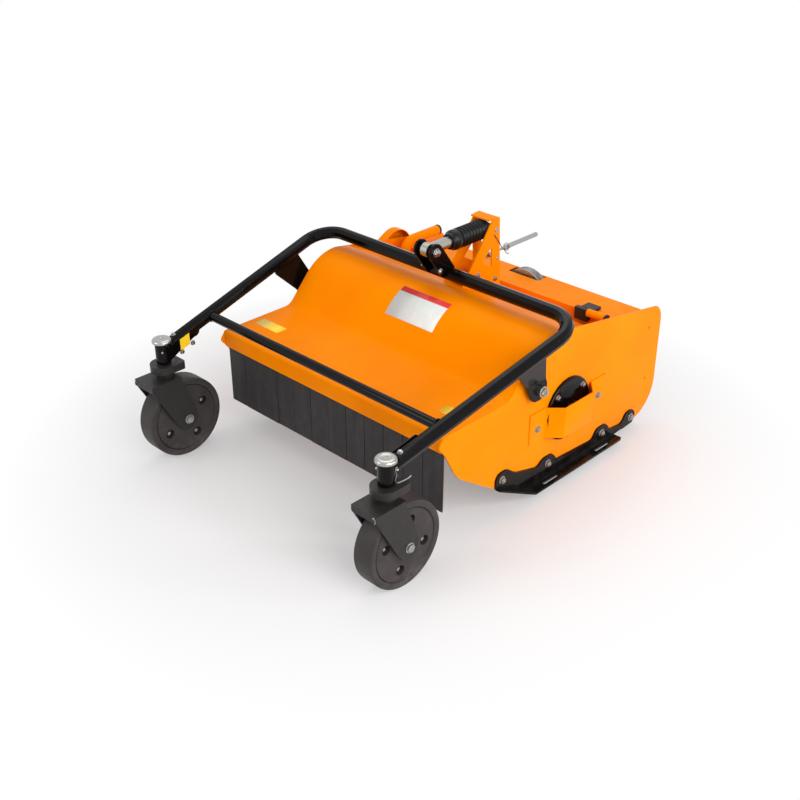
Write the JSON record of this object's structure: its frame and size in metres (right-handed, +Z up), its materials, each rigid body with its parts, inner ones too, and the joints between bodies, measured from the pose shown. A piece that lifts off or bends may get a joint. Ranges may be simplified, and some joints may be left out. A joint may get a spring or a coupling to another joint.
{
  "type": "hammer knife mower",
  "caption": "Front-mounted hammer knife mower: orange rotor hood on side skids and a rear roller, carried in front by a pivoting tube frame with two caster wheels set by a screw link.",
  "frame": {"origin": "on the ground, midway between the front of the caster wheels and the rear edges of the side plates, on the machine's centre line", "axes": "+Z up, +Y to the rear (hitch side), +X to the side plate with the open bearing guard"},
  "size_m": [1.0522, 1.291, 0.649],
  "materials": {
    "deck_orange": "gloss paint",
    "tube_black": "gloss black paint",
    "plate_black": "satin black paint",
    "rubber_grey": "matt rubber",
    "tyre_grey": "matt solid rubber",
    "hub_grey": "moulded plastic",
    "bright_zinc": "bright zinc plate",
    "raw_steel": "forged and bare",
    "cast_grey": "cast and machined"
  },
  "bodies": {
    "deck": {"hood": "deck_orange", "side_plate_left": "deck_orange", "side_plate_right": "deck_orange", "cross_box": "deck_orange", "rear_sheet": "deck_orange", "front_flaps": "rubber_grey", "flap_rail": "plate_black", "bearing_left": "tube_black", "bearing_right": "tube_black", "bearing_guard_right": "deck_orange", "belt_cover_left": "deck_orange", "skid_left": "plate_black", "skid_right": "plate_black", "roller_bracket_left": "plate_black", "roller_bracket_right": "plate_black", "mast": "deck_orange", "mast_pin": "bright_zinc", "hitch_pin": "bright_zinc", "hitch_rod": "bright_zinc", "support_tube": "deck_orange", "support_cap": "rubber_grey", "latch": "plate_black", "stop_bar": "deck_orange", "knob": "plate_black", "input_bearing": "cast_grey", "pivot_bolt_left": "bright_zinc", "pivot_bolt_right": "bright_zinc"},
    "caster_frame": {"tube_frame": "tube_black", "crossbar": "tube_black", "pivot_arm_left": "plate_black", "pivot_arm_right": "plate_black", "link_lugs": "tube_black", "link_pin": "bright_zinc", "stem_sleeve_left": "plate_black", "stem_sleeve_right": "plate_black"},
    "caster_left": {"fork_left": "plate_black", "axle_left": "bright_zinc", "stem_cap_left": "bright_zinc"},
    "caster_right": {"fork_right": "plate_black", "axle_right": "bright_zinc", "stem_cap_right": "bright_zinc"},
    "wheel_left": {"tyre_left": "tyre_grey", "hub_left": "hub_grey"},
    "wheel_right": {"tyre_right": "tyre_grey", "hub_right": "hub_grey"},
    "rotor": {"rotor": "raw_steel"},
    "drive_pulley": {"drive_pulley": "cast_grey"},
    "rear_roller": {"rear_roller": "plate_black"},
    "screw": {"bellows": "rubber_grey", "screw_head": "plate_black"},
    "rod": {"height_rod": "bright_zinc"}
  },
  "joints": [
    {"name": "frame_pitch", "type": "hinge", "parent": "deck", "child": "caster_frame", "pos_m": [0, 0.0265, 0.345], "axis": [1, 0, 0], "range_deg": [-3, 5]},
    {"name": "caster_swivel_left", "type": "hinge", "parent": "caster_frame", "child": "caster_left", "pos_m": [-0.4595, -0.5575, 0.2], "axis": [0, 0, 1], "continuous": true},
    {"name": "caster_swivel_right", "type": "hinge", "parent": "caster_frame", "child": "caster_right", "pos_m": [0.4595, -0.5575, 0.2], "axis": [0, 0, 1], "continuous": true},
    {"name": "wheel_spin_left", "type": "hinge", "parent": "caster_left", "child": "wheel_left", "pos_m": [-0.4595, -0.5205, 0.125], "axis": [1, 0, 0], "continuous": true},
    {"name": "wheel_spin_right", "type": "hinge", "parent": "caster_right", "child": "wheel_right", "pos_m": [0.4595, -0.5205, 0.125], "axis": [1, 0, 0], "continuous": true},
    {"name": "rotor_spin", "type": "hinge", "parent": "deck", "child": "rotor", "pos_m": [0, 0.1815, 0.222], "axis": [1, 0, 0], "continuous": true},
    {"name": "pulley_spin", "type": "hinge", "parent": "deck", "child": "drive_pulley", "pos_m": [0.014, 0.5325, 0.337], "axis": [0, 1, 0], "continuous": true},
    {"name": "roller_spin", "type": "hinge", "parent": "deck", "child": "rear_roller", "pos_m": [0, 0.5395, 0.045], "axis": [1, 0, 0], "continuous": true},
    {"name": "screw_tilt", "type": "hinge", "parent": "deck", "child": "screw", "pos_m": [0, 0.3355, 0.61], "axis": [1, 0, 0], "range_deg": [-1.5, 1.5]},
    {"name": "rod_reach", "type": "slide", "parent": "screw", "child": "rod", "axis": [0, -1, 0], "range_m": [-0.016, 0.025]}
  ],
  "couplings": [
    {"joint": "screw_tilt", "follows": "frame_pitch", "ratio": -0.1839},
    {"joint": "rod_reach", "follows": "frame_pitch", "m_per_rad": 0.265},
    {"joint": "pulley_spin", "follows": "rotor_spin", "ratio": 1}
  ]
}
